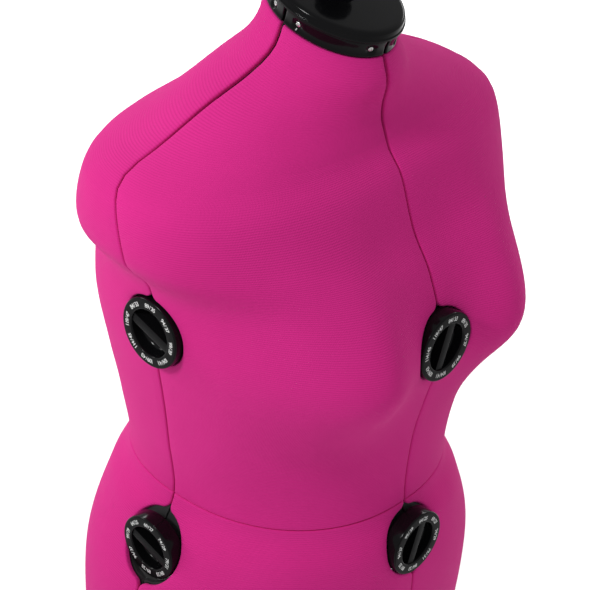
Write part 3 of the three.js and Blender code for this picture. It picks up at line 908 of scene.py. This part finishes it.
def ring_numbers(labels, glyphs, first_angle):
    """The printed numbers around a dial's ring, their feet towards its middle."""
    placed = []
    advance = NUMBER_HEIGHT * 0.62
    for index, label in enumerate(labels):
        centre = first_angle - index * 2 * math.pi / len(labels)
        for place, letter in enumerate(label):
            across = (place - (len(label) - 1) / 2) * advance
            angle = centre - across / NUMBER_RADIUS
            points, faces, painted, wide = glyphs[letter]
            to_ring = Matrix.Rotation(angle - math.pi / 2, 4, "Z")
            foot = Vector((0, NUMBER_RADIUS - NUMBER_HEIGHT / 2, DIAL_FACE + 0.05))
            to_ring = to_ring @ Matrix.Translation(foot)
            to_ring = to_ring @ Matrix.Scale(NUMBER_HEIGHT, 4) @ Matrix.Translation((-wide / 2, 0, 0))
            placed.append(moved((points, faces, painted), to_ring))
    return merged(*placed)


def add_dials():
    glyphs = glyph_shapes()
    for tier in TIERS.values():
        for level, heights in tier["dials"].items():
            for index, seam in enumerate(SEAMS):
                kind = "side" if SEAMS[seam]["q"] == 1 else "centre"
                centre = seam_point(seam, heights[kind])
                place = seam_frame(seam, centre)
                reach = abs(centre.y if kind == "centre" else centre.x) - SPINE_FACE[seam]
                turn = Matrix.Rotation(math.radians(GRIP_TURN[seam]), 4, "Z")
                shape = merged(dial_body(reach), moved(grip_bar(), turn))
                name = f"{level}_dial_{seam}"
                piece(f"{name}_disc", name, shape, [GLOSS, SATIN], place, [name], 32)
                numbers = ring_numbers(SCALES[level], glyphs, math.radians(80 + 17 * index))
                piece(f"{name}_numbers", name, numbers, [PRINT], place)


# ------------------------------------------------------------------ stand and inner frame


def refine(name, made, width):
    """A CAD node that keeps its shape, with its edges rounded and its own material."""
    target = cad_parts[name]
    target.data.materials.clear()
    target.data.materials.append(made)
    if width:
        weld = target.modifiers.new("weld", "WELD")
        weld.merge_threshold = 0.02 * MM
        rounding = target.modifiers.new("rounding", "BEVEL")
        rounding.width = width * MM
        rounding.segments = 3
        rounding.limit_method = "ANGLE"
        rounding.angle_limit = math.radians(35)
    target.data.polygons.foreach_set("use_smooth", [True] * len(target.data.polygons))
    target.data.set_sharp_from_angle(angle=math.radians(32))


def tube_shape(radius, bore, bottom, top):
    line = filleted(
        [
            (bore, (bottom + top) / 2, 0),
            (bore, bottom, 0.5),
            (radius, bottom, 0.8),
            (radius, top, 0.8),
            (bore, top, 0.5),
        ],
        3,
    )
    return turned(line, 56)


def add_poles():
    inner = tube_shape(11, 9.4, 250, WAIST_Z - 60)
    outer = tube_shape(14, 11.4, 30, 600)
    piece("inner_tube", "mast", inner, [STEEL], None, ["inner_pole"])
    piece("outer_tube", "stand", outer, [ENAMEL], None, ["outer_pole"])
    stop = -59.6
    line = filleted(
        [
            (0, -160, 0),
            (9, -160, 1.2),
            (9, stop, 0),
            (11, stop, 0.5),
            (11, stop + 8, 0.8),
            (9, stop + 8, 0),
            (9, 388, 0.8),
            (0, 388, 0),
        ],
        3,
    )
    place = Matrix.Translation((0, 0, WAIST_Z))
    piece("upper_rod", "upper_core", turned(line, 56), [STEEL], place, ["upper_post"])


def add_clamp():
    line = filleted(
        [
            (14.3, 590, 0),
            (14.3, 566, 0.5),
            (20.5, 566, 1.5),
            (22, 572, 2),
            (22, 634, 2),
            (19, 640, 2.5),
            (11.3, 640, 0.5),
            (11.3, 600.3, 0),
            (14.3, 600.3, 0),
        ],
        4,
    )
    boss = filleted([(0, 20, 0), (8.5, 20, 0), (7.6, 28.6, 1), (0, 28.6, 0)], 4)
    forwards = Matrix.Translation((0, 0, 620)) @ Matrix.Rotation(math.pi / 2, 4, "X")
    shape = merged(turned(line, 64), moved(turned(boss, 40), forwards))
    piece("height_clamp_body", "stand", shape, [NYLON], None, ["height_clamp"])


def add_feet():
    line = filleted([(0, 0, 0), (13, 0, 1.5), (15, 3, 2), (14.2, 14, 0.8), (0, 14, 0)], 4)
    for seam, facing in SEAMS.items():
        place = Matrix.Translation(Vector(facing["out"]) * 250)
        name = f"{seam}_foot"
        piece(f"{name}_pad", "stand", turned(line, 48), [RUBBER], place, [name])


def finish_cad_nodes():
    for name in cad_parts:
        if name.endswith("_shell"):
            refine(name, SHELL, 0)
        elif name.endswith("_spine"):
            refine(name, NYLON, 0.8)
        elif name.endswith("_hub"):
            refine(name, NYLON, 1.0)
        elif name.endswith("_leg"):
            refine(name, NYLON, 2.5)
        elif name == "clamp_knob":
            refine(name, NYLON, 1.2)


# ------------------------------------------------------------------ camera, floor and light

CAMERA_AZIMUTH, CAMERA_ELEVATION, CAMERA_ROLL = -47.912, 32.793, 2.492
CAMERA_TARGET = Vector((-2.9, 0, WAIST_Z + 138.2))
CAMERA_DISTANCE, CAMERA_LENS = 1384.7, 105.67


def add_camera():
    azimuth, elevation, roll = map(math.radians, (CAMERA_AZIMUTH, CAMERA_ELEVATION, CAMERA_ROLL))
    flat = math.cos(elevation)
    back = Vector((math.sin(azimuth) * flat, -math.cos(azimuth) * flat, math.sin(elevation)))
    level = Vector((math.cos(azimuth), math.sin(azimuth), 0))
    upright = back.cross(level)
    right = level * math.cos(roll) + upright * math.sin(roll)
    up = upright * math.cos(roll) - level * math.sin(roll)
    data = bpy.data.cameras.new("camera")
    data.sensor_width = 36
    data.lens = CAMERA_LENS
    data.clip_end = 50
    camera = bpy.data.objects.new("camera", data)
    bpy.context.scene.collection.objects.link(camera)
    turn = Matrix((right, up, back)).transposed().to_4x4()
    place = (CAMERA_TARGET + back * CAMERA_DISTANCE) * MM
    camera.matrix_world = Matrix.Translation(place) @ turn
    bpy.context.scene.camera = camera
    return level, upright, back


def add_floor():
    made = material("floor_white", Roughness=0.9)
    shader = made.node_tree.nodes["Principled BSDF"]
    shader.inputs["Specular IOR Level"].default_value = 0.1
    drive(made, "Base Color", ramp(made, noise(made, 3.0), [(0.0, (0.9,) * 3), (1.0, (0.93,) * 3)]))
    half = 12.0
    mesh = bpy.data.meshes.new("floor")
    corners = [(-half, -half, 0), (half, -half, 0), (half, half, 0), (-half, half, 0)]
    mesh.from_pydata(corners, [], [(0, 1, 2, 3)])
    mesh.materials.append(made)
    floor = bpy.data.objects.new("floor", mesh)
    bpy.context.scene.collection.objects.link(floor)


def add_area(name, place, aim, size, power):
    data = bpy.data.lights.new(name, "AREA")
    data.shape = "RECTANGLE"
    data.size, data.size_y = size
    data.energy = power
    light = bpy.data.objects.new(name, data)
    bpy.context.scene.collection.objects.link(light)
    away = (Vector(place) - Vector(aim)).normalized()
    turn = away.to_track_quat("Z", "Y").to_matrix().to_4x4()
    light.matrix_world = Matrix.Translation(place) @ turn


def add_spot(name, place, aim, radius, half_angle, power):
    """A round lamp whose cone fades out towards its rim."""
    data = bpy.data.lights.new(name, "SPOT")
    data.shadow_soft_size = radius
    data.spot_size = 2 * math.radians(half_angle)
    data.spot_blend = 0.5
    data.energy = power
    light = bpy.data.objects.new(name, data)
    bpy.context.scene.collection.objects.link(light)
    turn = (Vector(place) - Vector(aim)).to_track_quat("Z", "Y").to_matrix().to_4x4()
    light.matrix_world = Matrix.Translation(place) @ turn


def add_lights(level, upright, back):
    """A window to the left of the camera that fades below the waist, in a pale room with a lit floor."""
    world = bpy.data.worlds.new("studio")
    world.use_nodes = True
    world.node_tree.nodes["Background"].inputs["Color"].default_value = (1, 1, 1, 1)
    world.node_tree.nodes["Background"].inputs["Strength"].default_value = 0.52
    bpy.context.scene.world = world
    chest = Vector((0, 0, 1.3))
    window = chest + (-0.66 * level + 0.2 * upright + 0.72 * back) * 2.0
    add_spot("window_beam", window, chest, 0.2, 14, 62)
    add_area("window", window, chest, (0.45, 0.3), 4)
    for x, y in ((-1.1, 2.6), (1.8, 2.6), (3.0, 0.6)):
        add_area(f"floor_softbox_{x}", Vector((x, y, 2.4)), Vector((x * 1.1, y * 1.1, 0)), (1.6, 1.6), 52)


add_lights(*add_camera())
add_floor()
bpy.context.scene.view_settings.view_transform = "Standard"
add_covers()
add_collar()
add_neck_cap()
add_neck_knob()
add_dials()
add_poles()
add_clamp()
add_feet()
finish_cad_nodes()
